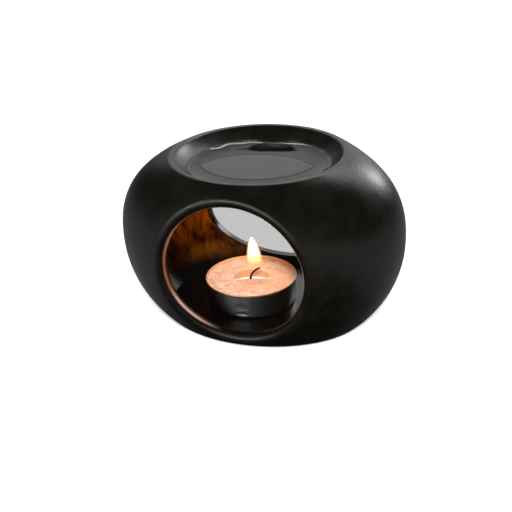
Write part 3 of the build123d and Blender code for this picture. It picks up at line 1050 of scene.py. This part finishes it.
def flame_shell(name, thickness, strength, top):
    """One shell of the flame, a teardrop whose middle follows the lean of the wick."""
    lean = Vector((cos(WICK_HEADING), sin(WICK_HEADING), 0))
    rings = []
    for step in range(FLAME_RINGS):
        h = (step + 0.2) / FLAME_RINGS
        rounding = (1 - (1 - min(1, h / FOOT_ROUNDING)) ** 2) ** 0.5
        radius = thickness * FLAME_RADIUS * rounding * (1 - h ** 2.2) ** 0.75
        middle = Vector((CUP_X, CUP_Y, FLAME_FOOT_Z + FLAME_HEIGHT * h)) + 0.6 * WICK_SLANT
        middle += lean * (LEAN_AT_FOOT - LEAN_LOST * h)
        rings.append([middle + Vector((radius * cos(a), radius * sin(a), 0)) for a in angles(FLAME_SIDES)])
    material = make_material(lambda add, place: glow(add, place, strength, top), name + "_glow")
    shell = settle(mesh_piece(name, rings), material, "tealight", None)
    shell.visible_shadow = False


for name, thickness, strength, top in SHELLS:
    flame_shell(name, thickness, strength, top)

# %% [markdown]
# The shells are for the eye: light from so small a glowing mesh would be noisy on the wax and the chamber's
# wall. So a point lamp of about the flame's size stands near its tip, dim and warm as a candle is, and moves
# with the tealight.

# %% Candle light
CANDLE_WATTS = 0.0054
CANDLE_RADIUS = 2.5 * MM

candle_light = put("candle_light", bpy.data.lights.new("candle_light", "POINT"))
candle_light.data.energy = CANDLE_WATTS
candle_light.data.color = linear("#ffc794")[:3]
candle_light.data.shadow_soft_size = CANDLE_RADIUS
candle_light.location = (CUP_X + 1 * MM, CUP_Y, FLAME_FOOT_Z + 0.9 * FLAME_HEIGHT)
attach(candle_light, "tealight")
print(candle_light.name, "at", [round(v / MM, 1) for v in candle_light.location], "mm")

# %% [markdown]
# ## Felt pads
#
# Small felt discs under the foot ring keep the stoneware from scratching the table. Pressed felt has no weave:
# short wool fibres lie in all directions. Hair particles could show them, but the pads are hardly seen, so a
# mottled colour, a bump and a soft edge on a turned disc are enough.

# %% Pads
# Wool fibres are about 0.03 mm thick, but drawn coarser here so that they show.
FELT_FIBRE_MM = 0.3
FELT_SOFT_EDGE = 0.35 * MM
FELT_BEVEL = 0.3 * FELT_SOFT_EDGE


def pressed_wool_felt(add, place):
    # Pressed wool felt: matt and faintly mottled, with a light fuzz at grazing angles.
    fibres = add("TexNoise", {"Vector": place, "Scale": per_mm(FELT_FIBRE_MM), "Detail": 5.0,
                              "Distortion": 1.5})
    colour = add("ValToRGB", [fibres])
    colour.color_ramp.elements[0].color = linear("#1b1a19")
    colour.color_ramp.elements[1].color = linear("#3a3836")
    return add("BsdfPrincipled", {
        "Base Color": colour,
        "IOR": 1.5,
        "Roughness": 0.95,
        "Sheen Weight": 0.3,
        "Normal": add("Bump", {"Height": fibres, "Strength": 0.8, "Distance": 0.1 * MM}),
    })


felt_material = make_material(pressed_wool_felt)
for node in ("foot_pad_front_left", "foot_pad_front_right", "foot_pad_rear_left", "foot_pad_rear_right"):
    x, y, radius, foot, top = round_piece(node)
    half = [(0, 0), (radius - FELT_SOFT_EDGE, 0), (radius - FELT_BEVEL, FELT_BEVEL), (radius, FELT_SOFT_EDGE)]
    pad_profile = [(r, foot + h) for r, h in half] + [(r, top - h) for r, h in reversed(half)]
    pad = lathe("felt_" + node[5:], (x, y), pad_profile, 48)
    settle(pad, felt_material, "burner", "felt", node)

# %% [markdown]
# ## The floor
#
# The burner stands on a white paper sweep. Lamps strong enough to turn paper white would cost the burner its
# black. So the paper takes the lamp's light and the burner's shadow like any matt paper, and a little light of
# its own, more of it further off, lifts it to white. Only the eye sees that light, straight on or through
# water. In mirrors the paper is grey, with a painted shadow that is darkest in front of the burner, so that
# the front of the pebble stays black.

# %% Floor
# Paper fibres are finer than 0.1 mm, but drawn coarser here so that they show.
PAPER_GRAIN_MM = 2.0
# Painted shadow: its middle in front of the burner, dark within 5 cm of it and gone at 12 cm.
PAINTED_SHADOW_MIDDLE = (20 * MM, -80 * MM, 0)
PAINTED_SHADOW_BAND = (0.05, 0.12)
LIFT_BAND = (0.14, 0.40)
LIFT = (0.42, 0.95)
FLOOR_HALF = 1.5


def matt_white_paper_sweep(add, place):
    # Uncoated white paper: matt, with a grain that is only just there.
    rays = add("LightPath").outputs
    seen = add("Math", [rays["Is Camera Ray"], rays["Is Transmission Ray"]], operation="MAXIMUM")
    grain = add("TexNoise", {"Vector": place, "Scale": per_mm(PAPER_GRAIN_MM), "Detail": 2.0})
    bump = add("Bump", {"Height": grain, "Strength": 0.02, "Distance": 0.1 * MM})
    away = add("VectorMath", [place, PAINTED_SHADOW_MIDDLE], operation="DISTANCE")
    # Painted shadow: in mirrors the paper darkens round a spot in front of the burner.
    grey = add("MapRange", [away, *PAINTED_SHADOW_BAND], **SMOOTH)
    mirrored_grey_and_painted_shadow = add("Mix", [grey, linear("#1c1c1c"), linear("#909090")], **COLOUR)
    mirrored = rays["Is Glossy Ray"]
    shade = add("Mix", [mirrored, linear("#e6e6e6"), mirrored_grey_and_painted_shadow], **COLOUR)
    matt = add("BsdfDiffuse", {"Color": shade, "Normal": bump})
    from_burner = add("VectorMath", [place], operation="LENGTH")
    lift = add("MapRange", [from_burner, *LIFT_BAND, *LIFT], **SMOOTH)
    lift = add("Math", [seen, lift], operation="MULTIPLY")
    light = add("Emission", {"Color": linear("#ffffff"), "Strength": lift})
    return add("AddShader", [matt, light])


corners = [(x * FLOOR_HALF, y * FLOOR_HALF, 0) for x, y in ((-1, -1), (1, -1), (1, 1), (-1, 1))]
sheet = bpy.data.meshes.new("paper_sweep")
sheet.from_pydata(corners, [], [range(4)])
sheet.materials.append(make_material(matt_white_paper_sweep))
floor = put("paper_sweep", sheet)
print(floor.name, 2 * FLOOR_HALF, "m wide")

# %% [markdown]
# ## The room
#
# A black, glossy thing shows its room more than itself. This room is dark in front, where the camera stands,
# and bright behind, so the front is nearly black while the dish and its water shine. A picture of a real room
# could be wrapped round the scene, but a soft bright patch in one direction is all that shows. The camera
# itself sees plain white.

# %% World
BRIGHT_WALL = Vector((-0.10, 0.86, 0.50)).normalized()
WALL_SPREAD = (0.68, 0.95)
ROOM_LIGHT = (0.03, 0.8)

world = bpy.data.worlds.new("studio")
world.use_nodes = True
bpy.context.scene.world = world
sky = world.node_tree
sky.nodes.clear()
add = partial(add_node, sky)
by_camera = add("LightPath").outputs["Is Camera Ray"]
direction = add("TexCoord").outputs["Generated"]
toward_wall = add("VectorMath", [direction, BRIGHT_WALL], operation="DOT_PRODUCT")
room = add("MapRange", [toward_wall, *WALL_SPREAD, *ROOM_LIGHT], **SMOOTH)
level = add("Mix", [by_camera, room, 1.0])
add("OutputWorld", [add("Background", {"Color": linear("#ffffff"), "Strength": level})])
print("room light", ROOM_LIGHT, "from dark to bright")

# %% [markdown]
# One lamp over the camera lights the paper, so the shadow falls behind the burner. Glossy surfaces don't see
# it, or it would put a white spot on the front. The other three are cards for mirrors only: one behind on the
# right draws the highlight on the shoulder, a strip above the back the shine on the rim, and a faint card in
# front on the left the grey sheen on the tealight's cup and the left of the pebble. One big softbox could
# light all of these at once, but then none could be tuned alone.

# %% Lamps
def softbox(name, toward, distance, width, height, watts, **seen_by):
    """An area lamp that faces the burner, seen only by the kinds of rays that are left on."""
    lamp = put(name, bpy.data.lights.new(name, "AREA"))
    direction = Vector(toward).normalized()
    lamp.location = AIM + direction * distance
    lamp.rotation_euler = direction.to_track_quat("Z", "Y").to_euler()
    lamp.data.shape = "RECTANGLE"
    lamp.data.size = width
    lamp.data.size_y = height
    lamp.data.energy = watts
    for kind_of_ray, seen in seen_by.items():
        setattr(lamp, kind_of_ray, seen)


softbox("paper_lamp_over_camera", toward=(0.262, -0.760, 0.595), distance=1.6, width=0.22, height=0.22,
        watts=37.0, visible_glossy=False)
softbox("bright_card_rear_right", toward=(0.405, 0.85, 0.33), distance=0.9, width=0.25, height=0.25,
        watts=1.45, visible_diffuse=False)
softbox("ceiling_strip_above_rear", toward=(-0.05, 0.66, 0.75), distance=0.9, width=0.9, height=0.1,
        watts=2.0, visible_diffuse=False)
softbox("grey_card_front_left", toward=(-0.34, -0.935, 0.09), distance=0.5, width=0.4, height=0.14,
        watts=0.8, visible_diffuse=False)
